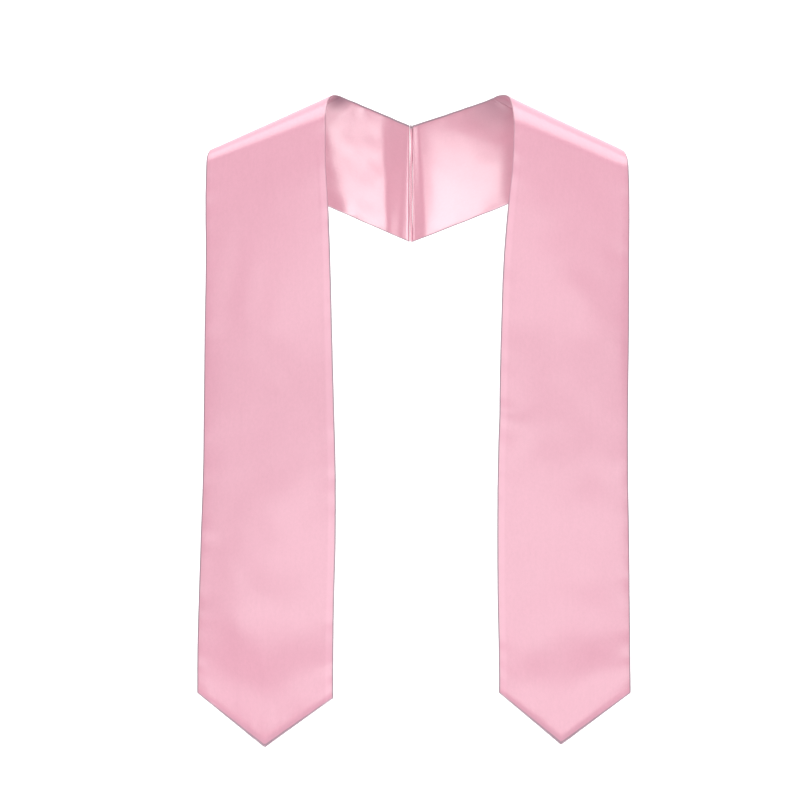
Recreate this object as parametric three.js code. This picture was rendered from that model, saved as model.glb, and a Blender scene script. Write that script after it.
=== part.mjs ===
// A graduation stole of satin, with the form it keeps when it is worn. Two bands hang down the chest, pass over
// the shoulders and meet behind the neck in a mitred seam. Each band is two cloths, a face and a lining, sewn
// along their edges and turned, and its free end is cut to a point.
// Millimetres, +Z up. The wearer looks along -Y, so the wearer's right is at -X. The origin is midway between
// the two tops of the shoulder folds, at their inner edges, where the neck stands.
import * as THREE from 'three';

// Sizes of the cloth
const bandWidth = 126;          // across a band at its hem
const frontDrop = 561;          // from the top of the shoulder fold down to the hem's two corners
const pointDrop = 49;           // from those corners down to the point
const seamLength = 131.5;       // the mitred seam behind the neck
const clothThickness = 1;       // one cloth
const layerGap = 0.4;           // between the face and the lining
const seamWidth = 2.2;          // the seam's ridge, across
const seamDepth = 4.6;          // the seam's ridge, through the cloth
const seamClearance = 0.3;      // between the ridge and each band

// How it sits on the shoulders
const neckOpening = 177;        // between the inner edges of the two bands, just below the shoulders
const shoulderSlope = 25;       // degrees, of the fold over the shoulder
const innerFoldRadius = 28;     // of that fold at the neck
const outerFoldRadius = 24;     // and at its outer end
const innerNapeTurn = 30;       // degrees that the fold turns on behind its top, at the neck
const outerNapeTurn = 50;       // and at its outer end
const chestLean = 16;           // degrees from upright, where the front leaves the fold
const chestReach = 88;          // how far the inner edge hangs before the fold
const outerSetback = 12;        // how far the outer edge hangs behind the inner one

// How it lies behind the neck
const napeDrop = 29.4;          // the seam's upper end, below the tops of the folds
const napeReach = 60;           // and behind them
const seamTilt = 35;            // degrees from upright, its lower end further back
const seamAside = -2.8;         // the seam lies this far from the middle
const mitreSlope = 23.5;        // degrees, of the edges falling towards the seam
const mitreTurn = 24;           // degrees, of the edges still going back where they meet the seam

// Small relief of the cloth
const crown = 3;                // down the front, the middle of a band stands this far before its edges
const crownStart = 0.25;        // the crown is full from this share of the front down
const edgeRoll = 1;             // the edges turn back by this much
const edgeRollWidth = 9;        // over this width
const foldHeight = 4;           // the tallest soft fold
const seamPucker = 2.4;         // the cloth is drawn towards the wearer's neck at the seam
const seamPuckerWidth = 24;

// The outline of each front in shares: fall is the share of frontDrop, inner the inner edge's place as a share
// of half the neck opening, and width the share of bandWidth.
const outlines = {
  right: [
    { fall: 0.06, inner: 0.938, width: 0.878 },
    { fall: 0.12, inner: 0.934, width: 0.894 },
    { fall: 0.18, inner: 0.912, width: 0.915 },
    { fall: 0.26, inner: 0.892, width: 0.926 },
    { fall: 0.38, inner: 0.871, width: 0.948 },
    { fall: 0.51, inner: 0.85, width: 0.97 },
    { fall: 0.64, inner: 0.83, width: 0.992 },
    { fall: 0.74, inner: 0.83, width: 1.007 },
    { fall: 0.84, inner: 0.846, width: 1.01 },
    { fall: 0.94, inner: 0.858, width: 1.014 },
    { fall: 1, inner: 0.861, width: 1.014 },
  ],
  left: [
    { fall: 0.06, inner: 1.06, width: 0.853 },
    { fall: 0.12, inner: 1.043, width: 0.869 },
    { fall: 0.17, inner: 1.008, width: 0.899 },
    { fall: 0.26, inner: 0.958, width: 0.933 },
    { fall: 0.38, inner: 0.927, width: 0.951 },
    { fall: 0.51, inner: 0.904, width: 0.959 },
    { fall: 0.64, inner: 0.888, width: 0.971 },
    { fall: 0.74, inner: 0.885, width: 0.981 },
    { fall: 0.84, inner: 0.888, width: 0.984 },
    { fall: 0.94, inner: 0.901, width: 0.981 },
    { fall: 1, inner: 0.906, width: 0.981 },
  ],
};

// Soft folds and dents on each front: fall and across place the middle (across runs from the outer edge, 0, to
// the inner, 1), long and wide are half sizes as shares of bandWidth, lean turns the fold in degrees, and height
// is a share of foldHeight, negative for a dent.
const folds = {
  right: [
    { fall: 0.3, across: 0.3, long: 1.1, wide: 0.22, lean: 8, height: 0.45 },
    { fall: 0.62, across: 0.68, long: 0.9, wide: 0.25, lean: -14, height: 0.5 },
    { fall: 0.8, across: 0.25, long: 0.8, wide: 0.28, lean: 12, height: 0.45 },
    { fall: 0.93, across: 0.75, long: 0.45, wide: 0.2, lean: 24, height: -0.4 },
  ],
  left: [
    { fall: 0.3, across: 0.12, long: 0.9, wide: 0.16, lean: 6, height: -0.4 },
    { fall: 0.47, across: 0.9, long: 0.3, wide: 0.1, lean: 38, height: -0.75 },
    { fall: 0.5, across: 0.45, long: 0.9, wide: 0.26, lean: -10, height: 0.5 },
    { fall: 0.82, across: 0.7, long: 0.7, wide: 0.25, lean: 14, height: -0.4 },
  ],
};

// The two bands and how they differ, in shares of the sizes above: the slope of the shoulder, the fold's turn
// behind its top and its two radii, the fall of the inner corner of the hem, and the width of the pucker beside the
// seam. The point of the hem is at the share pointAcross of the width.
const bands = [
  { name: 'right', side: -1, slope: 1, nape: 1, inner: 0.95, outer: 0.6, corner: 1.009, pucker: 1, pointAcross: 0.498 },
  { name: 'left', side: 1, slope: 1.02, nape: 1.3, inner: 1.08, outer: 1, corner: 1, pucker: 0.6, pointAcross: 0.53 },
];

// How the edges run behind the neck. leave and arrive say how firmly an edge keeps its direction where it leaves
// the fold and where it meets the seam, as shares of the straight distance between them. fall is the share of
// mitreSlope with which it meets the seam.
const napes = {
  right: { inner: { leave: 0.4, arrive: 1, fall: 1 }, outer: { leave: 0.5, arrive: 0.8, fall: 1 } },
  left: { inner: { leave: 0.3, arrive: 0.9, fall: 0.76 }, outer: { leave: 0.5, arrive: 0.9, fall: 0.9 } },
};

// How finely the cloth is divided
const cellsAcross = 10;
const cellsOverFold = 11;
const cellsDownFront = 22;
const cellsToPoint = 5;
const cellsBehind = 12;
const rimShare = 0.012;         // the outermost cells are this share of the width
const rimThickness = 0.35;      // and thin to this share of the cloth at the seam along the edge
const pointFade = 0.2;          // the share of the front over which the rows take the hem's point
const neckCrowding = 1.7;       // the rows crowd together at the inner edge behind the fold

const satin = { color: 0xeeb5c6, roughness: 0.38, metalness: 0 };

const radians = THREE.MathUtils.degToRad;
const lerp = THREE.MathUtils.lerp;
const smooth = THREE.MathUtils.smoothstep;

// A smooth curve through one or more columns of a table, as a function of its first column.
function tableCurve(rows, key, columns) {
  const at = rows.map((row) => row[key]);
  const values = rows.flatMap((row) => columns.map((column) => row[column]));
  const curve = new THREE.CubicInterpolant(at, values, columns.length);
  return (place) => Array.from(curve.evaluate(place));
}

// The two edges of one band. Each is three functions: over the fold by a turn in radians, down the front by a share
// from 0 to 1, and behind the neck by a share from the end of the fold to the seam.
function bandEdge(band, isOuter) {
  const outline = tableCurve(outlines[band.name], 'fall', ['inner', 'width']);
  const slope = radians(shoulderSlope * band.slope);
  const [sin, cos] = [Math.sin(slope), Math.cos(slope)];
  const radius = isOuter ? outerFoldRadius * band.outer : innerFoldRadius * band.inner;
  const firstTurn = -radians((isOuter ? outerNapeTurn : innerNapeTurn) * band.nape);
  const lastTurn = radians(90 - chestLean);
  const top = isOuter ? -Math.tan(slope) * outline(0)[1] * bandWidth : 0;
  const reach = chestReach - (isOuter ? outerSetback : 0);
  const bottom = isOuter ? -frontDrop : -frontDrop * band.corner;
  const outlineX = (z) => {
    const [inner, width] = outline(Math.min(1, Math.max(0, -z / frontDrop)));
    return inner * neckOpening / 2 + (isOuter ? width * bandWidth : 0);
  };

  // The fold turns the band over a cylinder that lies along the shoulder, so an edge runs on it as a helix. turn is
  // from the top of the fold towards the front, and climb is how far the helix has moved along x.
  const climb = (turn) => radius * sin * (turn - 1 + Math.cos(turn));
  const overFold = (turn) => {
    const fall = radius / cos * (sin ** 2 * turn + cos ** 2 * (1 - Math.cos(turn)));
    const x = outlineX(top - fall) - climb(lastTurn) + climb(turn);
    return new THREE.Vector3(band.side * x, -radius * Math.sin(turn), top - fall);
  };
  const end = overFold(lastTurn);

  // The lean dies away in a parabola until the edge hangs upright.
  const leanLength = 2 * (reach + end.y) / Math.tan(radians(chestLean));
  const downFront = (share) => {
    const z = lerp(end.z, bottom, share);
    const eased = 1 - (1 - Math.min(1, (end.z - z) / leanLength)) ** 2;
    return new THREE.Vector3(band.side * outlineX(z), lerp(end.y, -reach, eased), z);
  };

  // A cubic Hermite curve that leaves along the helix and falls to the seam.
  const start = overFold(firstTurn);
  const seamEnd = seamPoint(band.side, isOuter ? 1 : 0);
  const nape = napes[band.name][isOuter ? 'outer' : 'inner'];
  const span = start.distanceTo(seamEnd);
  const leave = new THREE.Vector3(
    -band.side * sin * (1 - Math.sin(firstTurn)),
    Math.cos(firstTurn),
    (sin ** 2 + cos ** 2 * Math.sin(firstTurn)) / cos,
  ).setLength(span * nape.leave);
  const arrive = new THREE.Vector3(
    -band.side,
    Math.tan(radians(mitreTurn)),
    -Math.tan(radians(mitreSlope * nape.fall)),
  ).setLength(span * nape.arrive);
  const behind = (share) => {
    const t = isOuter ? share : share ** neckCrowding;
    const [s2, s3] = [t * t, t * t * t];
    return new THREE.Vector3()
      .addScaledVector(start, 2 * s3 - 3 * s2 + 1)
      .addScaledVector(leave, s3 - 2 * s2 + t)
      .addScaledVector(seamEnd, 3 * s2 - 2 * s3)
      .addScaledVector(arrive, s3 - s2);
  };
  return { overFold, downFront, behind, firstTurn, lastTurn };
}

// A point on the seam line, from its upper end, 0, to its lower end, 1. A band stops beside it, on its own side.
function seamPoint(side, share) {
  const aside = side * (seamWidth / 2 + seamClearance);
  const tilt = radians(seamTilt);
  return new THREE.Vector3(
    seamAside + aside,
    napeReach + share * seamLength * Math.sin(tilt),
    -napeDrop - share * seamLength * Math.cos(tilt),
  );
}

// The places across a band of its grid's columns, 0 at the outer edge and 1 at the inner.
function columnPlaces() {
  const places = [0];
  for (let column = 0; column <= cellsAcross - 2; column += 1) {
    places.push(lerp(rimShare, 1 - rimShare, column / (cellsAcross - 2)));
  }
  places.push(1);
  return places;
}

// The rows of a band's middle surface, from the point of the hem to the seam. A row is its points from the
// outer edge to the inner, and says where it lies for the relief.
function middleRows(band) {
  const [outer, inner] = [bandEdge(band, true), bandEdge(band, false)];
  const places = columnPlaces();
  const rows = [];
  const addRow = (from, to, fields) => {
    const { point = 0, along = 1, seam = 0 } = fields;
    const points = places.map((place) => {
      // Near the hem the middle column moves to where the point is, and each place drops by its tent.
      const tent = 1 - Math.abs(2 * place - 1);
      const shifted = place + point * tent * (band.pointAcross - 0.5);
      const at = from.clone().lerp(to, shifted);
      at.z -= point * tent * pointDrop;
      return at;
    });
    rows.push({ points, along, seam });
  };
  for (let step = cellsToPoint + cellsDownFront; step >= 0; step -= 1) {
    const share = step < cellsDownFront
      ? (1 - pointFade) * step / cellsDownFront
      : lerp(1 - pointFade, 1, (step - cellsDownFront) / cellsToPoint);
    const point = Math.max(0, (share - 1 + pointFade) / pointFade) ** 2;
    addRow(outer.downFront(share), inner.downFront(share), { point, along: share });
  }
  for (let step = 1; step <= cellsOverFold; step += 1) {
    const share = step / cellsOverFold;
    const [outerTurn, innerTurn] = [outer, inner].map((edge) => lerp(edge.lastTurn, edge.firstTurn, share));
    addRow(outer.overFold(outerTurn), inner.overFold(innerTurn), { along: 0 });
  }
  for (let step = 1; step <= cellsBehind; step += 1) {
    const share = step / cellsBehind;
    addRow(outer.behind(share), inner.behind(share), { along: 0, seam: share });
  }
  return { rows, places };
}

// Outward unit normals of a grid of rows, from the differences between neighbours.
function gridNormals(grid, side) {
  const last = { row: grid.length - 1, column: grid[0].length - 1 };
  return grid.map((row, r) => row.map((_, c) => {
    const up = grid[Math.min(r + 1, last.row)][c].clone().sub(grid[Math.max(r - 1, 0)][c]);
    const across = grid[r][Math.min(c + 1, last.column)].clone().sub(grid[r][Math.max(c - 1, 0)]);
    return up.cross(across).multiplyScalar(side).normalize();
  }));
}

// The height of the relief over the plain surface: the crown, the rolled edges, the folds and the pucker.
function relief(band, row, place) {
  const fromEdge = Math.min(place, 1 - place) * bandWidth;
  const roll = edgeRoll * (1 - smooth(fromEdge, 0, edgeRollWidth));
  const bow = crown * (1 - (2 * place - 1) ** 2) * smooth(row.along, 0, crownStart);
  const fall = row.along;
  let height = bow - roll;
  for (const fold of folds[band.name]) {
    const down = (fall - fold.fall) * frontDrop;
    const side = (place - fold.across) * bandWidth;
    const [cos, sin] = [Math.cos(radians(fold.lean)), Math.sin(radians(fold.lean))];
    const long = (down * cos + side * sin) / (fold.long * bandWidth);
    const wide = (side * cos - down * sin) / (fold.wide * bandWidth);
    height += fold.height * foldHeight * Math.exp(-long * long - wide * wide);
  }
  return height;
}

// The middle surface with its relief: a grid of points and a grid of normals.
function bandSurface(band) {
  const { rows, places } = middleRows(band);
  const plain = rows.map((row) => row.points);
  const plainNormals = gridNormals(plain, band.side);
  const seamX = seamPoint(band.side, 0).x;
  const grid = rows.map((row, r) => row.points.map((point, c) => {
    const height = row.seam < 1 ? relief(band, row, places[c]) : 0;
    const moved = point.clone().addScaledVector(plainNormals[r][c], height);
    if (row.seam > 0) {
      const near = 1 - smooth(Math.abs(moved.x - seamX), 0, seamPuckerWidth * band.pucker);
      moved.y -= seamPucker * near;
    }
    return moved;
  }));
  return { grid, normals: gridNormals(grid, band.side), places };
}

// A closed cloth between two distances from the middle surface, thinned at its rim.
function clothGeometry(surface, near, far, side) {
  const { grid, normals } = surface;
  const [rowCount, columnCount] = [grid.length, grid[0].length];
  const positions = [];
  const index = [];
  const isRim = (c) => c === 0 || c === columnCount - 1;
  const addSkin = (distance) => {
    grid.forEach((row, r) => row.forEach((point, c) => {
      const reach = isRim(c) ? lerp(near, distance, rimThickness) : distance;
      positions.push(...point.clone().addScaledVector(normals[r][c], reach).toArray());
    }));
  };
  addSkin(near);
  addSkin(far);
  const outward = (far - near) * side > 0;
  const addQuad = (a, b, c, d) => {
    if (outward) index.push(a, b, c, a, c, d);
    else index.push(a, c, b, a, d, c);
  };
  const nearAt = (r, c) => r * columnCount + c;
  const farAt = (r, c) => rowCount * columnCount + nearAt(r, c);
  for (let r = 0; r < rowCount - 1; r += 1) {
    for (let c = 0; c < columnCount - 1; c += 1) {
      addQuad(farAt(r, c), farAt(r + 1, c), farAt(r + 1, c + 1), farAt(r, c + 1));
      addQuad(nearAt(r, c), nearAt(r, c + 1), nearAt(r + 1, c + 1), nearAt(r + 1, c));
    }
    addQuad(farAt(r, 0), nearAt(r, 0), nearAt(r + 1, 0), farAt(r + 1, 0));
    const last = columnCount - 1;
    addQuad(farAt(r, last), farAt(r + 1, last), nearAt(r + 1, last), nearAt(r, last));
  }
  for (let c = 0; c < columnCount - 1; c += 1) {
    addQuad(farAt(0, c), farAt(0, c + 1), nearAt(0, c + 1), nearAt(0, c));
    const last = rowCount - 1;
    addQuad(farAt(last, c), nearAt(last, c), nearAt(last, c + 1), farAt(last, c + 1));
  }
  const geometry = new THREE.BufferGeometry();
  geometry.setAttribute('position', new THREE.Float32BufferAttribute(positions, 3));
  geometry.setIndex(index);
  geometry.computeVertexNormals();
  return geometry;
}

function clothMesh(name, geometry) {
  const mesh = new THREE.Mesh(geometry, new THREE.MeshStandardMaterial(satin));
  mesh.name = name;
  return mesh;
}

// The seam's ridge: the joined edges of all four cloths, a slim bar between the two bands that stands a little
// proud of the lining.
function backSeam() {
  const outline = new THREE.Shape();
  const [halfDepth, halfWidth] = [seamDepth / 2, seamWidth / 2];
  const corner = seamWidth / 4;
  outline.moveTo(-halfWidth, -halfDepth + corner);
  outline.lineTo(-halfWidth + corner, -halfDepth);
  outline.lineTo(halfWidth - corner, -halfDepth);
  outline.lineTo(halfWidth, -halfDepth + corner);
  outline.lineTo(halfWidth, halfDepth - corner);
  outline.lineTo(halfWidth - corner, halfDepth);
  outline.lineTo(-halfWidth + corner, halfDepth);
  outline.lineTo(-halfWidth, halfDepth - corner);
  outline.closePath();
  const geometry = new THREE.ExtrudeGeometry(outline, { depth: seamLength, steps: 1, bevelEnabled: false });
  const mesh = clothMesh('back_seam', geometry);
  const top = seamPoint(0, 0);
  mesh.position.set(top.x, top.y - seamPucker, top.z);
  mesh.lookAt(mesh.position.clone().add(seamPoint(0, 1)).sub(top));
  return mesh;
}

const stole = new THREE.Group();
for (const band of bands) {
  const surface = bandSurface(band);
  const inside = layerGap / 2;
  const outside = inside + clothThickness;
  stole.add(clothMesh(`${band.name}_face`, clothGeometry(surface, inside, outside, band.side)));
  stole.add(clothMesh(`${band.name}_lining`, clothGeometry(surface, -inside, -outside, band.side)));
}
stole.add(backSeam());

export default stole;
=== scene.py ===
"""A graduation stole of pink satin, hanging as it does on its wearer, in a white studio. Metres, +Z up, the wearer
looks along -Y. Each band is two satin cloths, a face and a lining, sewn along their edges and turned, and the two
bands meet behind the neck in a mitred seam."""

import math

import bpy
import numpy as np
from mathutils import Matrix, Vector


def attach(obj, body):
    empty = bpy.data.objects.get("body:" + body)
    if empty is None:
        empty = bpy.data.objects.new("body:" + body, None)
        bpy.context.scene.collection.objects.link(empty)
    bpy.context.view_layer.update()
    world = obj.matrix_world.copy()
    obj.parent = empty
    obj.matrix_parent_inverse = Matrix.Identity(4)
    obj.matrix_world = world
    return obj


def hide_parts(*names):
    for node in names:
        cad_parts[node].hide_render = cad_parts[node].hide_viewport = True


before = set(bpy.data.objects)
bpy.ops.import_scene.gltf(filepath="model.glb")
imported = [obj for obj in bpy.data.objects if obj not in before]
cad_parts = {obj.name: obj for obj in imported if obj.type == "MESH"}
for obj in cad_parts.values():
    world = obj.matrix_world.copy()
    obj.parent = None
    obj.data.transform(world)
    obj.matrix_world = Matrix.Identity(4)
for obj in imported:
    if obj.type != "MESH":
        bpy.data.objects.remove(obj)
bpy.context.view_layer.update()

# Sizes of the cloth
BAND_WIDTH = 0.126
FRONT_DROP = 0.561  # from the shoulder to the hem's corners
POINT_DROP = 0.049  # from there to the point
POINT_FADE = 0.2  # the share of a front over which its rows bend to the point
SEAM_LENGTH = 0.133
SEAM_WIDTH = 0.0022
SEAM_CLEARANCE = 0.0003
CLOTH = 0.0004  # one cloth of satin
LAYER_GAP = 0.0001  # between the face and the lining where they are sewn together
PUFF = 0.0005  # how much further each cloth stands off the middle away from the edges
PUFF_WIDTH = 0.0022

# How it sits on the shoulders
NECK_OPENING = 0.177
SHOULDER_SLOPE = math.radians(25)
INNER_FOLD_RADIUS = 0.028
OUTER_FOLD_RADIUS = 0.024
INNER_NAPE_TURN = math.radians(30)  # how far a fold goes on behind its top
OUTER_NAPE_TURN = math.radians(50)
CHEST_LEAN = math.radians(16)  # how steeply a front leans out below its fold
CHEST_REACH = 0.088  # how far before the origin it hangs
OUTER_SETBACK = 0.012  # how much less far the outer edge reaches

# How it lies behind the neck
NAPE_DROP = 0.028  # the seam's upper end below and behind the origin
NAPE_REACH = 0.06
SEAM_TILT = math.radians(35)
SEAM_ASIDE = -0.0028
MITRE_SLOPE = math.radians(23.5)  # the direction in which the edges come to the seam
MITRE_TURN = math.radians(24)
NECK_CROWDING = 1.7  # the rows start closer together along the inner edge

# Columns: share of the front's drop, the inner edge from the middle as a share of half the neck opening, and the
# width as a share of the band's.
OUTLINES = {
    "right": np.array([
        (0.06, 0.938, 0.878), (0.12, 0.934, 0.894), (0.18, 0.912, 0.915), (0.26, 0.892, 0.926),
        (0.38, 0.871, 0.948), (0.51, 0.85, 0.97), (0.64, 0.83, 0.992), (0.74, 0.83, 1.007),
        (0.84, 0.846, 1.01), (0.94, 0.858, 1.014), (1, 0.861, 1.014),
    ]),
    "left": np.array([
        (0.06, 1.06, 0.853), (0.12, 1.043, 0.869), (0.17, 1.008, 0.899), (0.26, 0.958, 0.933),
        (0.38, 0.927, 0.951), (0.51, 0.904, 0.959), (0.64, 0.888, 0.971), (0.74, 0.885, 0.981),
        (0.84, 0.888, 0.984), (0.94, 0.901, 0.981), (1, 0.906, 0.981),
    ]),
}

# How the two bands differ: the side of the body, shares of the sizes above, where across the band its point lies,
# the share of EDGE_ROLL that its outer edge has, whether its cloths stay apart up to the back seam, the seed of its
# uneven waves, and the share of them behind the neck.
BANDS = {
    "right": dict(
        side=-1, slope=1.0, nape=1.0, inner=0.95, outer=0.6, corner=1.009,
        point=0.498, roll=0.1, apart=0, seed=29, mottled=1.0,
    ),
    "left": dict(
        side=1, slope=1.02, nape=1.3, inner=1.08, outer=1.0, corner=1.0,
        point=0.53, roll=0.45, apart=1, seed=11, mottled=0.375,
    ),
}
# The curves behind the neck: how strongly they leave the fold and come to the seam, as shares of the straight way
# between the two, and their share of MITRE_SLOPE.
NAPES = {
    ("right", "inner"): dict(leave=0.4, arrive=1.0, fall=1.0),
    ("right", "outer"): dict(leave=0.5, arrive=0.8, fall=1.0),
    ("left", "inner"): dict(leave=0.3, arrive=0.9, fall=0.76),
    ("left", "outer"): dict(leave=0.5, arrive=0.9, fall=0.9),
}

# Soft folds and dents of the fronts. Columns: share of the front, share of the width from the outer edge, half
# length and half width in metres, lean in degrees, height in metres.
FOLDS = {
    "right": [
        (0.367, 0.40, 0.050, 0.050, 0, 0.0012), (0.62, 0.68, 0.113, 0.032, -14, 0.0026),
        (0.79, 0.30, 0.080, 0.035, 12, 0.0022), (0.865, 0.50, 0.040, 0.055, 0, 0.0034),
        (0.94, 0.55, 0.060, 0.020, 90, -0.0018),
    ],
    "left": [
        (0.325, 0.30, 0.060, 0.050, 0, 0.0020), (0.46, 0.08, 0.090, 0.042, 0, 0.0036),
        (0.515, 0.98, 0.024, 0.026, -15, 0.0038), (0.68, 0.14, 0.110, 0.040, -4, 0.0026),
        (0.94, 0.40, 0.060, 0.022, 84, -0.0030),
    ],
}
CROWN = 0.003  # how far the middle of a front stands out, reached at CROWN_START of the front
CROWN_START = 0.25
FRONT_START = 0.08  # the share of a front over which the relief of its edges sets in
EDGE_ROLL = 0.001
EDGE_ROLL_WIDTH = 0.009
HEM_ROLL = 0.0013
HEM_ROLL_WIDTH = 0.008
HEM_FALL = 0.0022  # how far the last tenth of a front bends back
HEM_FALL_SHARE = 0.1
ALLOWANCE = 0.0002  # the seam allowance that lies inside along the inner edge lifts the face
ALLOWANCE_END = (0.0065, 0.0085)  # the distances from that edge between which it ends

# Uneven waves of the cloth. Columns: what is added to the band's seed, number of waves, wavelength and height in
# metres, and how much a length along the cloth and one across it count.
WAVES = {
    "broad": (0, 14, 0.11, 0.0004, 0.6, 1),
    "fine": (1, 16, 0.034, 0.00012, 0.7, 1),
    "at the edges": (2, 10, 0.02, 0.00022, 1, 0.2),
    "behind": (3, 12, 0.03, 0.00008, 1, 1),
    "at the hem": (4, 10, 0.014, 0.0002, 0.3, 1),
}
BROAD_START = (0.05, 0.3)  # the shares of a front between which the broad waves set in
FINE_AT_FOLD = 0.3  # the fine waves' share of their height before that
EDGE_WAVES_FADE = 0.007
HEM_WAVES_FADE = 0.012
SEAM_CALM = 0.15  # the last share of the back piece, over which the relief fades

# Behind the neck the seam draws the cloth beside it forward, in a strip and more gently beyond it. Per band: the
# strip's width at the seam's upper and lower end, the share of it that is level beside the lower end, and the
# strip's share of the whole draw.
SEAM_PUCKER = 0.0066
PUCKERS = {"right": (0.0265, 0.0198, 0.42, 1.0), "left": (0.0046, 0.0118, 0.1, 0.42)}
PUCKER_EASE = 0.3  # how much less it draws at the seam's lower end
PUCKER_CREASE = 0.05  # the share of the strip over which the cloth turns
PUCKER_SPREAD = 0.09  # the distance at which the gentler part ends
MOTTLE_START = 0.02  # the distance from the seam over which the uneven waves there set in

# Towards the shoulders it curls forward, beyond soft creases. Columns: a point on the crease as the distance from the
# middle and the height, the direction of the curl in degrees from outward to upward, its slope, and its softness.
CURLS = {
    "right": [(0.0714, -0.085, -14, 0.3, 0.003), (0.070, -0.003, 35, 0.22, 0.004)],
    "left": [(0.0845, 0, 0, 0.25, 0.003), (0.015, -0.016, 62, -0.16, 0.005), (0.018, 0, 0, 0.09, 0.003)],
}
CURL_START = 0.3  # the share of the back piece over which they set in

# Inside the fold of the shoulder the lining is in its own shade. Per band: the distances from the fold's inner end at
# which the shade starts to fade and at which it is gone, and its strength.
SHADES = {"right": (0.002, 0.023, 1.0), "left": (0.004, 0.045, 0.55)}

# The two rolled edges of the back seam
STITCH = 0.0014
STITCH_TIGHTENING = 0.1
STITCH_SHARPNESS = 6
ROLL_WAIST = 0.62  # the section's radius between the rolls, as a share of that across them
ROLL_DEPTH = 1.9
ROLL_RADIUS = 0.001  # at which the lengths round the rolls are measured for the weave
SEAM_ENDS = (-0.004, 1.002)  # as shares of the seam
END_SHARPNESS = 60
END_SIZE = 0.3
SEAM_WAVES = (5, 6, 0.06)  # seed, number and wavelength
SEAM_WANDER = 0.0003

# The grid of a band. Columns lie closer together beside both edges, and rows beside the hem, at the given shares of
# the width and of the front. The others are spaced evenly from the next share on.
ROWS_FRONT, ROWS_FOLD, ROWS_BEHIND, COLUMNS = ((230, 48, 84, 84))
SEAM_ROWS, SEAM_RING = ((400, 28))
EDGE_COLUMNS, NEXT_COLUMN = (0, 0.004, 0.009, 0.016, 0.025), 0.036
HEM_ROWS, NEXT_ROW = (1, 0.999, 0.998, 0.9965, 0.9945, 0.992), 0.989

# The satin's colours, among them painted shades and a painted highlight
DEEP_PINK = (0.82, 0.345, 0.462)
LIGHT_PINK = (0.92, 0.410, 0.542)
# painted highlight: a lighter strip where the inner edge of a front rolls over its seam allowance
ALLOWANCE_HIGHLIGHT_PINK = (0.98, 0.46, 0.60, 1)
# painted shade, darker towards the hem
HEM_SHADE_PINK = (0.70, 0.30, 0.415, 1)
SHADED_PINK = (0.32, 0.11, 0.18, 1)
# painted shade: the dark line where the face and the lining are sewn together
SEWN_SHADE_PINK = (0.36, 0.215, 0.275, 1)
# painted shade: the lining is a darker copy of the face's satin
LINING_SHADE_FACTOR = 0.88

# Where they change, with painted shade along the sewn edges and the hem, and a painted highlight. Columns: the length
# that counts, which is the distance to the nearest sewn edge, the one across the band from its outer edge or the one
# along it from the hem, the lengths between which the colour changes, and its strength at both.
RAMPS = {
    # painted shade in a thin line along the sewn edges and along the hem
    "sewn shade line": ("edge", 0.0006, 0.0017, 1.0, 0.0),
    # painted shade: the pink deepens beside the sewn edges and the hem
    "shaded beside the edges": ("edge", 0.001, 0.007, 0.35, 0.0),
    "hem shade line": ("along", 0.0016, 0.0030, 1.0, 0.0),
    # painted shade beside the hem
    "hem": ("along", 0.003, 0.0085, 0.75, 0.0),
    # painted highlight over the seam allowance of the inner edge
    "highlight over the allowance": ("across", BAND_WIDTH - 0.0085, BAND_WIDTH - 0.0055, 0.0, 0.55),
    "on the front": ("along", 0.46, 0.56, 1.0, 0.0),
    "towards the neck": ("across", 0.06, 0.07, 0.0, 0.65),
    "above the chest": ("along", 0.45, 0.48, 0.0, 1.0),
    "before the nape": ("along", 0.58, 0.62, 1.0, 0.0),
}

# Noise along the threads. Columns: spots to a metre across and along the band, detail, roughness.
NOISES = {
    "warp": (2400, 420, 3.0, 0.55),
    "weft": (260, 1700, 3.0, 0.55),
    "streaks": (420, 22, 3.0, 0.55),
    "spots": (420, 330, 4.0, 0.65),
}
NOISE_START = (2.3, 4.1, 0.4)  # keeps the noise's own middle off the cloth
CLOUD_START = (0.37, 0.11, 0.23)
CLOUD_SCALE = 16.0
TONES = {"spots": 1.1, "streaks": 0.3, "warp": 0.5}  # how strongly each noise changes the colour
CLOUD_TONE = 0.4
WEAVE = {"warp": 0.6, "weft": 0.5}  # how strongly it lifts the threads
THREAD_HEIGHT = 0.0003
WEAVE_STRENGTH = 0.16
SATIN_IOR = 2.3
SATIN_ROUGHNESS = 0.29
CLOUD_ROUGHNESS = 0.06
SHADE_ROUGHNESS = 0.35

# The studio
FLOOR = -1.4
FLOOR_START = -12.5
WALL = 1.6
WALL_TOP = 6.0
SWEEP_RADIUS = 0.5
SWEEP_ROWS = 25
HALF_WIDTH = 7.0
WHITE = (0.95, 0.95, 0.95)
PALE = (0.6, 0.6, 0.6)
MATT = 0.9
PAPER_GLOW = 0.45
WORLD_STRENGTH = 0.52

# Soft lights. Columns: name, place, the point it looks at, width and height in metres, power in watts.
LIGHTS = [
    ("front", (0.75, -5.5, -0.3), (0.75, 0, -0.3), (8.5, 1.5), 67),
    ("high_front", (0, -4.5, 1.7), (0, 0, -0.2), (5, 0.8), 24),
    ("ceiling", (0, -0.35, 1.6), (0, -0.35, 0), (2.6, 1.6), 25),
    ("below", (-0.63, -0.3, -1.38), (-0.63, -0.3, 0), (0.5, 0.6), 5.5),
    ("below", (0.54, -0.2, -1.38), (0.54, -0.2, 0), (0.46, 0.75), 5.0),
]

# The camera looks level and its rays are parallel, as from far away: 0.94 mm of the stole to a pixel of an 800 pixel
# view.
VIEW_WIDTH = 0.752
CAMERA_PLACE = (-0.01316, -3, -0.28576)


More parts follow.
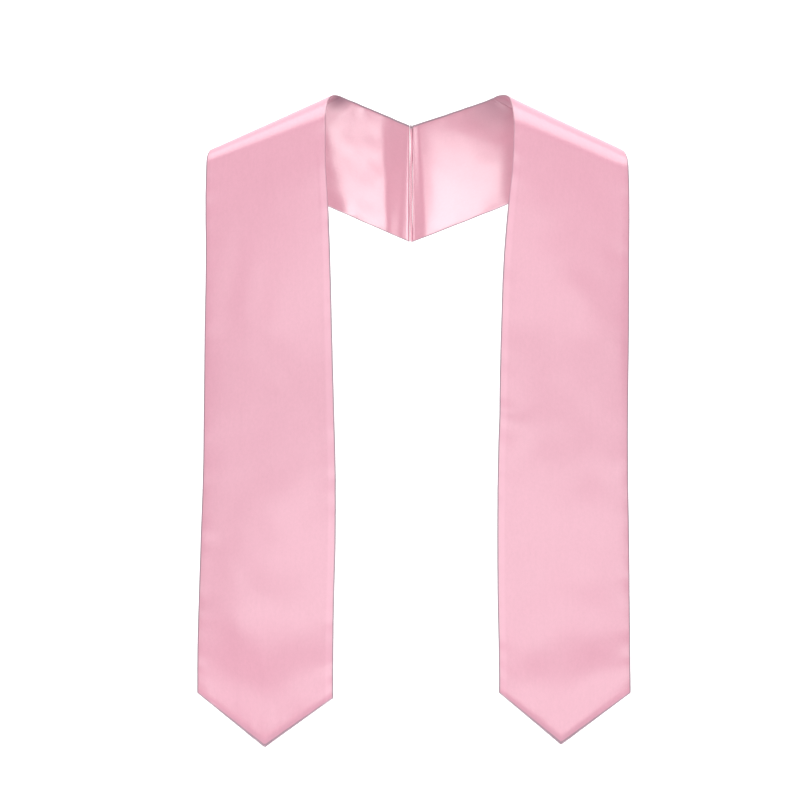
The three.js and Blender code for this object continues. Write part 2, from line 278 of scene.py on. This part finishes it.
def smooth(x, low, high):
    """3t^2 - 2t^3 of t = (x - low) / (high - low), held to 0..1."""
    t = np.clip((x - low) / (high - low), 0, 1)
    return t * t * (3 - 2 * t)


def hermite(t, start, leave, end, arrive):
    """The cubic in t that goes from start to end, with the slopes leave and arrive."""
    return (
        (2 * t**3 - 3 * t**2 + 1) * start + (t**3 - 2 * t**2 + t) * leave
        + (3 * t**2 - 2 * t**3) * end + (t**3 - t**2) * arrive
    )


def along_table(table, at):
    """The table's second and later columns at the given values of its first, through a cubic Hermite whose slopes
    are the differences between neighbours."""
    x, y = table[:, 0], table[:, 1:]
    slopes = np.gradient(y, x, axis=0)
    at = np.clip(at, x[0], x[-1])
    i = np.clip(np.searchsorted(x, at) - 1, 0, len(x) - 2)
    step = (x[i + 1] - x[i])[..., None]
    t = (at[..., None] - x[i][..., None]) / step
    return hermite(t, y[i], step * slopes[i], y[i + 1], step * slopes[i + 1])


def seam_point(side, share):
    """A band's end at the seam: down and back from the seam's upper end by share x SEAM_LENGTH at SEAM_TILT."""
    return np.array([
        SEAM_ASIDE + side * (SEAM_WIDTH / 2 + SEAM_CLEARANCE),
        NAPE_REACH + share * SEAM_LENGTH * math.sin(SEAM_TILT),
        -NAPE_DROP - share * SEAM_LENGTH * math.cos(SEAM_TILT),
    ])


class Edge:
    """One edge of one band: a helix over the shoulder fold, an outline down the front, a Hermite curve behind."""

    def __init__(self, name, which):
        band = BANDS[name]
        self.side, self.table, self.is_outer = band["side"], OUTLINES[name], which == "outer"
        slope = SHOULDER_SLOPE * band["slope"]
        self.sin, self.cos = math.sin(slope), math.cos(slope)
        fold, turn = (OUTER_FOLD_RADIUS, OUTER_NAPE_TURN) if self.is_outer else (INNER_FOLD_RADIUS, INNER_NAPE_TURN)
        self.radius = fold * band[which]
        self.first_turn, self.last_turn = -turn * band["nape"], math.pi / 2 - CHEST_LEAN
        first_width = self.table[0, 2] * BAND_WIDTH
        self.top = -math.tan(slope) * first_width if self.is_outer else 0.0
        self.reach = CHEST_REACH - (OUTER_SETBACK if self.is_outer else 0)
        self.bottom = -FRONT_DROP * (1 if self.is_outer else band["corner"])
        self.nape = NAPES[name, which]

    def outline_x(self, z):
        inner, width = np.moveaxis(along_table(self.table, -z / FRONT_DROP), -1, 0)
        return inner * NECK_OPENING / 2 + (width * BAND_WIDTH if self.is_outer else 0)

    def climb(self, turn):
        return self.radius * self.sin * (turn - 1 + np.cos(turn))

    def over_fold(self, turn):
        """x = outline - R sin s (c(last) - c(t)) with c(t) = t - 1 + cos t, y = -R sin t,
        z = top - R / cos s (t sin^2 s + (1 - cos t) cos^2 s), with s the slope of the shoulder."""
        turn = np.asarray(turn, float)
        z = self.top - self.radius / self.cos * (self.sin**2 * turn + self.cos**2 * (1 - np.cos(turn)))
        x = self.outline_x(z) - self.climb(self.last_turn) + self.climb(turn)
        return np.stack([self.side * x, -self.radius * np.sin(turn), z], -1)

    def down_front(self, share):
        """z falls evenly to the hem, x follows the outline, and y goes to -reach in a parabola."""
        end = self.over_fold(self.last_turn)
        lean = 2 * (self.reach + end[1]) / math.tan(CHEST_LEAN)
        z = end[2] + (self.bottom - end[2]) * share
        eased = 1 - (1 - np.clip((end[2] - z) / lean, 0, 1)) ** 2
        return np.stack([self.side * self.outline_x(z), end[1] + (-self.reach - end[1]) * eased, z], -1)

    def behind(self, share):
        """A cubic Hermite curve from the fold's end, along the helix there, to the seam."""
        turn = self.first_turn
        start, end = self.over_fold(turn), seam_point(self.side, 1 if self.is_outer else 0)
        span = np.linalg.norm(end - start)
        leave = np.array([
            -self.side * self.sin * (1 - math.sin(turn)),
            math.cos(turn),
            (self.sin**2 + self.cos**2 * math.sin(turn)) / self.cos,
        ])
        arrive = np.array([-self.side, math.tan(MITRE_TURN), -math.tan(MITRE_SLOPE * self.nape["fall"])])
        leave *= span * self.nape["leave"] / np.linalg.norm(leave)
        arrive *= span * self.nape["arrive"] / np.linalg.norm(arrive)
        t = (share if self.is_outer else share**NECK_CROWDING)[:, None]
        return hermite(t, start, leave, end, arrive)


def grid_normals(points, side):
    """Unit normals of a grid, outward for the face."""
    up, across = np.gradient(points, axis=0), np.gradient(points, axis=1)
    normals = np.cross(up, across) * side
    return normals / np.linalg.norm(normals, axis=-1, keepdims=True)


def waves(seed, count, length, s, t):
    """A sum of count sine waves over s and t in metres, of random directions and phases, wavelengths near length
    and a root mean square of about 1."""
    rng = np.random.default_rng(seed)
    total = np.zeros(np.broadcast(s, t).shape)
    for _ in range(count):
        angle, phase = rng.uniform(0, math.pi), rng.uniform(0, 2 * math.pi)
        k = 2 * math.pi / (length * rng.uniform(0.7, 1.5))
        total += np.sin(k * (s * math.cos(angle) + t * math.sin(angle)) + phase)
    return total * math.sqrt(2 / count)


def uneven(name, kind, along, width):
    """A band's waves of one kind, in metres."""
    draw, count, length, height, lengthwise, crosswise = WAVES[kind]
    return height * waves(BANDS[name]["seed"] + draw, count, length, along * lengthwise, width * crosswise)


def relief(name, share, across, along, width):
    """The height of the cloth along the normal: a crown 1 - (2c - 1)^2 over the share c of the width, the rolled
    outer edge and hem, the seam allowance, the hem's fall, the folds, each exp(-(u / long)^2 - (v / wide)^2) of the
    lengths u along and v across it, and the uneven waves."""
    fronts = smooth(share, 0, FRONT_START)
    broad = smooth(share, *BROAD_START)
    from_edge = np.minimum(width, BAND_WIDTH - width)
    height = CROWN * (1 - (2 * across - 1) ** 2) * smooth(share, 0, CROWN_START)
    height -= EDGE_ROLL * BANDS[name]["roll"] * fronts * (1 - smooth(width, 0, EDGE_ROLL_WIDTH))
    height += ALLOWANCE * fronts * (1 - smooth(BAND_WIDTH - width, *ALLOWANCE_END))
    height -= HEM_ROLL * (1 - smooth(along, 0, HEM_ROLL_WIDTH))
    height -= HEM_FALL * np.clip((share - 1 + HEM_FALL_SHARE) / HEM_FALL_SHARE, 0, 1) ** 2
    for fall, place, long, wide, lean, tall in FOLDS[name]:
        down, aside = (share - fall) * FRONT_DROP, (across - place) * BAND_WIDTH
        c, s = math.cos(math.radians(lean)), math.sin(math.radians(lean))
        height += tall * np.exp(-((down * c + aside * s) / long) ** 2 - ((aside * c - down * s) / wide) ** 2)
    height += broad * uneven(name, "broad", along, width)
    height += (FINE_AT_FOLD + (1 - FINE_AT_FOLD) * broad) * uneven(name, "fine", along, width)
    height += np.exp(-from_edge / EDGE_WAVES_FADE) * uneven(name, "at the edges", along, width)
    height += np.exp(-along / HEM_WAVES_FADE) * uneven(name, "at the hem", along, width)
    return height


def drawn_forward(name, points, behind, across, along, width):
    """How far the cloth behind the neck is drawn forward. By the seam: the strip's share is level beside it and then
    falls evenly to nothing at the strip's width, with soft corners ln(1 + exp(x)), and the rest falls evenly to
    PUCKER_SPREAD. By each curl: its slope times s ln(1 + exp(x / s)) at the distance x beyond its crease, with s its
    softness."""
    upper, lower, level, strip = PUCKERS[name]
    side, low = BANDS[name]["side"], 1 - across
    from_seam = np.abs(points[..., 0] - seam_point(side, 0)[0])
    reach = from_seam / (upper + (lower - upper) * low)
    level = level * low

    def bend(to, at):
        return np.logaddexp(0, (to - at) / PUCKER_CREASE)

    in_strip = strip * (bend(1, reach) - bend(level, reach)) / (bend(1, 0) - bend(level, 0))
    beyond_it = (1 - strip) * (1 - np.clip(from_seam / PUCKER_SPREAD, 0, 1))
    forward = SEAM_PUCKER * (1 - PUCKER_EASE * low) * (in_strip + beyond_it)
    mottle = BANDS[name]["mottled"] * uneven(name, "behind", along, width)
    forward += smooth(from_seam, 0, MOTTLE_START) * mottle
    for x, z, lean, slope, soft in CURLS[name]:
        c, s = math.cos(math.radians(lean)), math.sin(math.radians(lean))
        beyond = (side * points[..., 0] - x) * c + (points[..., 2] - z) * s
        forward += slope * soft * np.logaddexp(0, beyond / soft) * smooth(behind, 0, CURL_START)
    return forward * (behind > 0)


def band_surface(name):
    """The band's middle surface: at the share c of the width a point is at e0 + (e1 - e0) c, with e0 and e1 on the
    outer and the inner edge, lower by POINT_DROP (1 - |2c - 1|) at the hem, and the relief stands on that. Returns
    (points, normals, distance to the nearest sewn edge, distance to the back seam, lengths across and along, shade)."""
    band, outer, inner = BANDS[name], Edge(name, "outer"), Edge(name, "inner")
    side = band["side"]
    ends = np.array(EDGE_COLUMNS)
    middle = np.linspace(NEXT_COLUMN, 1 - NEXT_COLUMN, COLUMNS - 2 * len(ends))
    across = np.concatenate([ends, middle, 1 - ends[::-1]])[None, :]
    front = np.concatenate([HEM_ROWS, np.linspace(NEXT_ROW, 0, ROWS_FRONT - len(HEM_ROWS))])
    fold = np.linspace(0, 1, ROWS_FOLD + 1)[1:]
    back = np.linspace(0, 1, ROWS_BEHIND + 1)[1:]

    def edge_points(edge):
        turns = edge.last_turn + (edge.first_turn - edge.last_turn) * fold
        return np.concatenate([edge.down_front(front), edge.over_fold(turns), edge.behind(back)])

    start, end = edge_points(outer), edge_points(inner)
    share = np.concatenate([front, np.zeros(ROWS_FOLD + ROWS_BEHIND)])[:, None]
    behind = np.concatenate([np.zeros(ROWS_FRONT + ROWS_FOLD), back])[:, None]
    point = np.clip((share - 1 + POINT_FADE) / POINT_FADE, 0, 1) ** 2
    tent = 1 - np.abs(2 * across - 1)
    shifted = across + point * tent * (band["point"] - 0.5)
    points = start[:, None] + (end - start)[:, None] * shifted[..., None]
    points[..., 2] -= point * tent * POINT_DROP

    # Lengths along and across the cloth, for the relief and for the weave
    steps = np.linalg.norm(np.diff(points, axis=0), axis=-1).mean(1)
    along = np.concatenate([[0], np.cumsum(steps)])[:, None] + 0 * across
    width = across * BAND_WIDTH + 0 * along

    height = relief(name, share, across, along, width) * smooth(1 - behind, 0, SEAM_CALM)
    points = points + grid_normals(points, side) * height[..., None]
    points[..., 1] -= drawn_forward(name, points, behind, across, along, width)
    to_edge = np.minimum(np.minimum(width, BAND_WIDTH - width), along)
    near, far, strength = SHADES[name]
    inner_end = points[ROWS_FRONT + ROWS_FOLD - 1, -1]
    shade = strength * (1 - smooth(np.linalg.norm(points - inner_end, axis=-1), near, far))
    return points, grid_normals(points, side), to_edge, along[-1] - along, np.stack([width, along], -1), shade


def mesh_of_grid(name, points, flip, uv, **values):
    """A mesh of quads over a grid of points, with the lengths along and across the cloth as its UV map, and further
    values of the points as attributes."""
    rows, columns = points.shape[:2]
    r, c = np.meshgrid(np.arange(rows - 1), np.arange(columns - 1), indexing="ij")
    a = (r * columns + c).ravel()
    quads = np.stack([a, a + 1, a + 1 + columns, a + columns], -1)
    if flip:
        quads = quads[:, ::-1]
    mesh = bpy.data.meshes.new(name)
    mesh.vertices.add(rows * columns)
    mesh.vertices.foreach_set("co", points.reshape(-1).astype(np.float32))
    mesh.loops.add(quads.size)
    mesh.loops.foreach_set("vertex_index", quads.ravel().astype(np.int32))
    mesh.polygons.add(len(quads))
    mesh.polygons.foreach_set("loop_start", np.arange(0, quads.size, 4, dtype=np.int32))
    mesh.polygons.foreach_set("use_smooth", np.ones(len(quads), bool))
    mesh.update(calc_edges=True)
    layer = mesh.uv_layers.new(name="cloth")
    layer.data.foreach_set("uv", uv.reshape(-1, 2)[quads.ravel()].ravel().astype(np.float32))
    for title, value in values.items():
        attribute = mesh.attributes.new(title, "FLOAT", "POINT")
        attribute.data.foreach_set("value", value.ravel().astype(np.float32))
    mesh.validate()
    piece = bpy.data.objects.new(name, mesh)
    bpy.context.scene.collection.objects.link(piece)
    return piece


def cloth(name, surface, layer):
    """One cloth of a band, layer 1 for the face and -1 for the lining: it stands off the middle surface by
    LAYER_GAP / 2 + CLOTH + PUFF sqrt(1 - (1 - d / PUFF_WIDTH)^2), with d the distance to the nearest sewn edge, or
    to the back seam if the band's cloths don't stay apart there."""
    points, normals, to_edge, to_seam, uv, shade = surface
    side = BANDS[name]["side"]
    to_seam = to_seam + BANDS[name]["apart"] * PUFF_WIDTH
    swell = np.sqrt(1 - (1 - np.clip(np.minimum(to_edge, to_seam) / PUFF_WIDTH, 0, 1)) ** 2)
    stand_off = LAYER_GAP / 2 + CLOTH + PUFF * swell
    shape = points + normals * layer * stand_off[..., None]
    title = f"{name}_{'face' if layer > 0 else 'lining'}_satin"
    shade = shade * (layer < 0)
    piece = mesh_of_grid(title, shape, flip=side * layer > 0, uv=uv, edge=to_edge, shade=shade)
    solid = piece.modifiers.new("cloth", "SOLIDIFY")
    solid.thickness = CLOTH
    solid.offset = -1
    return piece


def seam_ridge():
    """The mitred seam: two rolled edges side by side, swept down the seam line. At the angle a its section is at
    r (cos a, ROLL_DEPTH sin a), with r = SEAM_WIDTH / 2 (ROLL_WAIST + (1 - ROLL_WAIST) |cos a|), and it is smaller by
    STITCH_TIGHTENING at every stitch."""
    top, bottom = seam_point(0, 0), seam_point(0, 1)
    length = np.linalg.norm(bottom - top)
    first, last = SEAM_ENDS
    share = np.linspace(first, last, SEAM_ROWS)
    down = (bottom - top) / length
    out = np.cross(down, [1, 0, 0])
    angle = np.linspace(0, 2 * math.pi, SEAM_RING, endpoint=False)
    radius = SEAM_WIDTH / 2 * (ROLL_WAIST + (1 - ROLL_WAIST) * np.abs(np.cos(angle)))
    stitch = 1 - STITCH_TIGHTENING * np.cos(math.pi * share * length / STITCH) ** STITCH_SHARPNESS
    from_middle = np.abs(2 * (share - first) / (last - first) - 1)
    ends = np.sqrt(np.clip(1 - from_middle**END_SHARPNESS, 0, 1))
    size = (stitch * np.maximum(ends, END_SIZE))[:, None]
    across = size * (radius * np.cos(angle))[None]
    deep = size * (radius * np.sin(angle) * ROLL_DEPTH)[None]
    line = top + share[:, None] * (bottom - top)
    line[:, 1] -= SEAM_PUCKER * (1 - PUCKER_EASE * share)
    wander = SEAM_WANDER * waves(*SEAM_WAVES, share * length, 0 * share)[:, None]
    points = line[:, None] + (across + wander)[..., None] * np.array([1, 0, 0]) + deep[..., None] * out
    uv = np.stack(np.broadcast_arrays(angle[None] * ROLL_RADIUS, share[:, None] * length), -1)
    points, uv = (np.concatenate([grid, grid[:, :1]], axis=1) for grid in (points, uv))
    return mesh_of_grid("back_seam_rolls", points, flip=False, uv=uv, edge=np.ones(points.shape[:2]))


def join(tree, place, value):
    """Feeds an input with a Sum or sets it to a value."""
    if isinstance(value, Sum):
        tree.links.new(value.socket, place)
    else:
        place.default_value = value


class Sum:
    """A socket, with the sums that shader nodes make of it."""

    def __init__(self, tree, socket):
        self.tree, self.socket = tree, socket

    def math(self, operation, *others):
        node = self.tree.nodes.new("ShaderNodeMath")
        node.operation = operation
        for place, value in zip(node.inputs, (self, *others)):
            join(self.tree, place, value)
        return Sum(self.tree, node.outputs[0])

    def __add__(self, other):
        return self.math("ADD", other)

    def __sub__(self, other):
        return self.math("SUBTRACT", other)

    def __mul__(self, other):
        return self.math("MULTIPLY", other)


class Material:
    """A material and the one method that makes its nodes."""

    def __init__(self, name):
        self.material = bpy.data.materials.new(name)
        self.material.use_nodes = True
        self.tree = self.material.node_tree
        self.shader = self.tree.nodes["Principled BSDF"]

    def node(self, kind, output=0, settings=(), **inputs):
        node = self.tree.nodes.new(kind)
        for key, value in dict(settings).items():
            setattr(node, key, value)
        for key, value in inputs.items():
            join(self.tree, node.inputs[key.replace("_", " ")], value)
        return Sum(self.tree, node.outputs[output])

    def ramp(self, value, start, stop, first, last):
        """Goes smoothly from first to last while the value goes from start to stop."""
        return self.node("ShaderNodeMapRange", settings={"interpolation_type": "SMOOTHSTEP"}, Value=value,
                         From_Min=start, From_Max=stop, To_Min=first, To_Max=last)

    def blend(self, factor, first, second):
        """A colour between two others. The Mix node's colours are its inputs 6 and 7 and its output 2."""
        node = self.tree.nodes.new("ShaderNodeMix")
        node.data_type = "RGBA"
        for place, value in zip((node.inputs[0], node.inputs[6], node.inputs[7]), (factor, first, second)):
            join(self.tree, place, value)
        return Sum(self.tree, node.outputs[2])

    def feed(self, name, value):
        join(self.tree, self.shader.inputs[name], value)


def satin(name, shade_factor=1.0):
    """Woven satin: a warm pink with faint long streaks of the warp, cloudy changes of tone, fine threads, and painted
    shade and highlight along its edges. Its colours are multiplied by the shade factor, which below 1 paints a shaded
    copy."""
    made = Material(name)
    cloth_uv = made.node("ShaderNodeUVMap", settings={"uv_map": "cloth"})
    place = made.node("ShaderNodeTexCoord", output="Object")
    noise = {}
    for kind, (x, y, detail, roughness) in NOISES.items():
        scaled = made.node("ShaderNodeMapping", Vector=cloth_uv, Location=NOISE_START, Scale=(x, y, 1))
        noise[kind] = made.node("ShaderNodeTexNoise", Vector=scaled, Scale=1.0, Detail=detail, Roughness=roughness)
    moved = made.node("ShaderNodeMapping", Vector=place, Location=CLOUD_START)
    clouds = made.node("ShaderNodeTexNoise", Vector=moved, Scale=CLOUD_SCALE, Detail=3.0, Roughness=0.5)
    lengths = {
        "edge": made.node("ShaderNodeAttribute", output="Fac", settings={"attribute_name": "edge"}),
        "across": made.node("ShaderNodeSeparateXYZ", output="X", Vector=cloth_uv),
        "along": made.node("ShaderNodeSeparateXYZ", output="Y", Vector=cloth_uv),
    }
    ramps = {title: made.ramp(lengths[which], *numbers) for title, (which, *numbers) in RAMPS.items()}
    shade = made.node("ShaderNodeAttribute", output="Fac", settings={"attribute_name": "shade"})

    tone = (clouds - 0.5) * CLOUD_TONE
    for kind, strength in TONES.items():
        tone = tone + (noise[kind] - 0.5) * strength
    deep, light = ((*(shade_factor * part for part in colour), 1) for colour in (DEEP_PINK, LIGHT_PINK))
    # The tone of the weave, deepened by painted shade beside the sewn edges
    pink = made.blend(tone + 0.5 - ramps["shaded beside the edges"], deep, light)
    # A painted highlight along the inner edge of the fronts
    pink = made.blend(ramps["highlight over the allowance"] * ramps["on the front"], pink, ALLOWANCE_HIGHLIGHT_PINK)
    # Painted shade along the hem
    pink = made.blend(ramps["hem"], pink, HEM_SHADE_PINK)
    pink = made.blend(shade, pink, SHADED_PINK)

    # The painted line of shade along the sewn edges is fainter beside the neck; the one along the hem is not.
    sewn = ramps["sewn shade line"]
    fainter = sewn * ramps["towards the neck"] * ramps["above the chest"] * ramps["before the nape"]
    line = (sewn - fainter).math("MAXIMUM", ramps["hem shade line"])
    made.feed("Base Color", made.blend(line, pink, SEWN_SHADE_PINK))
    made.feed("Roughness", (clouds - 0.5) * CLOUD_ROUGHNESS + shade * SHADE_ROUGHNESS + SATIN_ROUGHNESS)
    height = noise["warp"] * WEAVE["warp"] + noise["weft"] * WEAVE["weft"]
    bump = made.node("ShaderNodeBump", Height=height, Strength=WEAVE_STRENGTH, Distance=THREAD_HEIGHT)
    made.feed("Normal", bump)
    made.feed("IOR", SATIN_IOR)
    return made.material


def plain(name, colour, roughness, glow=0.0):
    """A plain matt finish that may shine by itself."""
    made = Material(name)
    made.feed("Base Color", (*colour, 1))
    made.feed("Roughness", roughness)
    made.feed("Emission Color", (*colour, 1))
    made.feed("Emission Strength", glow)
    return made.material


def backdrop():
    """A pale floor, and a white wall behind that meets it in a quarter circle."""
    angle = np.linspace(0, math.pi / 2, SWEEP_ROWS)
    forward, up = WALL - SWEEP_RADIUS * (1 - np.sin(angle)), FLOOR + SWEEP_RADIUS * (1 - np.cos(angle))
    sweep = np.stack([forward, up], -1)
    wall_path = np.concatenate([sweep, [(WALL, WALL_TOP)]])
    floor_path = np.array([(FLOOR_START, FLOOR), tuple(sweep[0])])
    for name, path, finish in (
        ("white_wall", wall_path, plain("white_paper", WHITE, MATT, glow=PAPER_GLOW)),
        ("pale_floor", floor_path, plain("pale_paint", PALE, MATT)),
    ):
        points = np.array([[(x, y, z) for x in (-HALF_WIDTH, HALF_WIDTH)] for y, z in path])
        piece = mesh_of_grid(name, points, flip=False, uv=points[..., :2])
        piece.data.materials.append(finish)


def soft_light(name, place, towards, size, power):
    """A large rectangular soft light."""
    data = bpy.data.lights.new(name, "AREA")
    data.shape, data.size, data.size_y = "RECTANGLE", *size
    data.energy = power
    light = bpy.data.objects.new(name, data)
    light.location = place
    light.rotation_mode = "QUATERNION"
    light.rotation_quaternion = (Vector(towards) - Vector(place)).to_track_quat("-Z", "Y")
    light.visible_camera = False
    bpy.context.scene.collection.objects.link(light)


# The stole
face_satin = satin("pink_satin_face")
# The lining's satin is painted in shade, darker than the face's
lining_satin = satin("pink_satin_lining_shaded", shade_factor=LINING_SHADE_FACTOR)
seam_satin = satin("pink_satin_seam")
for band_name in BANDS:
    surface = band_surface(band_name)
    for layer, words, finish in ((1, "face", face_satin), (-1, "lining", lining_satin)):
        piece = cloth(band_name, surface, layer)
        piece.data.materials.append(finish)
        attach(piece, "root")
        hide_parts(f"{band_name}_{words}")
seam = seam_ridge()
seam.data.materials.append(seam_satin)
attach(seam, "root")
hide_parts("back_seam")

# The room, the lights and the camera
backdrop()
for row in LIGHTS:
    soft_light(*row)
world = bpy.data.worlds.new("studio")
world.use_nodes = True
world.node_tree.nodes["Background"].inputs["Color"].default_value = (1, 1, 1, 1)
world.node_tree.nodes["Background"].inputs["Strength"].default_value = WORLD_STRENGTH
bpy.context.scene.world = world
camera_data = bpy.data.cameras.new("camera")
camera_data.type, camera_data.ortho_scale = "ORTHO", VIEW_WIDTH
camera_data.clip_start, camera_data.clip_end = 0.1, 100
camera = bpy.data.objects.new("camera", camera_data)
camera.location = CAMERA_PLACE
camera.rotation_euler = (math.pi / 2, 0, 0)
bpy.context.scene.collection.objects.link(camera)
bpy.context.scene.camera = camera
bpy.context.scene.view_settings.view_transform = "Standard"
